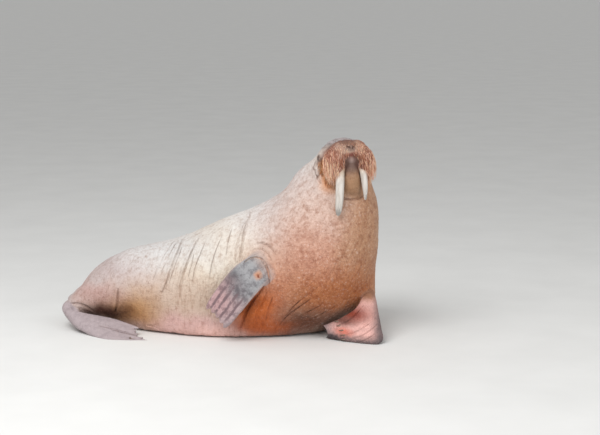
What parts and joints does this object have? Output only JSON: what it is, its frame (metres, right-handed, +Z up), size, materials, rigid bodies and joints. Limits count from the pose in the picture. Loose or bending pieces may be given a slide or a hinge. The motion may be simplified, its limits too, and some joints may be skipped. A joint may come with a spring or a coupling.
{
  "type": "walrus",
  "caption": "Life-size still model of an adult male walrus resting on its belly with its chest and head raised and one foreflipper lifted.",
  "frame": {"origin": "on the floor plane under the middle of the belly, in the flat that the belly rests on", "axes": "+X from the heels towards the chest, -Y towards the side that the face looks to, +Z up"},
  "size_m": [2.1252, 1.1623, 1.2965],
  "materials": {
    "hide": "matte wrinkled skin with sparse short hair",
    "flipper_skin": "matte grey-pink bare skin",
    "muzzle": "matte skin set with stiff bristles",
    "ivory": "satin ivory",
    "eye": "wet gloss"
  },
  "bodies": {
    "root": {"rump": "hide", "belly": "hide", "chest": "hide", "neck": "hide", "head": "hide", "tail": "hide", "flipper_fore_right": "flipper_skin", "flipper_fore_left": "flipper_skin", "flipper_hind_right": "flipper_skin", "flipper_hind_left": "flipper_skin", "lower_jaw": "muzzle", "whisker_pad_right": "muzzle", "whisker_pad_left": "muzzle", "tusk_right": "ivory", "tusk_left": "ivory", "eye_right": "eye", "eye_left": "eye"}
  },
  "joints": []
}
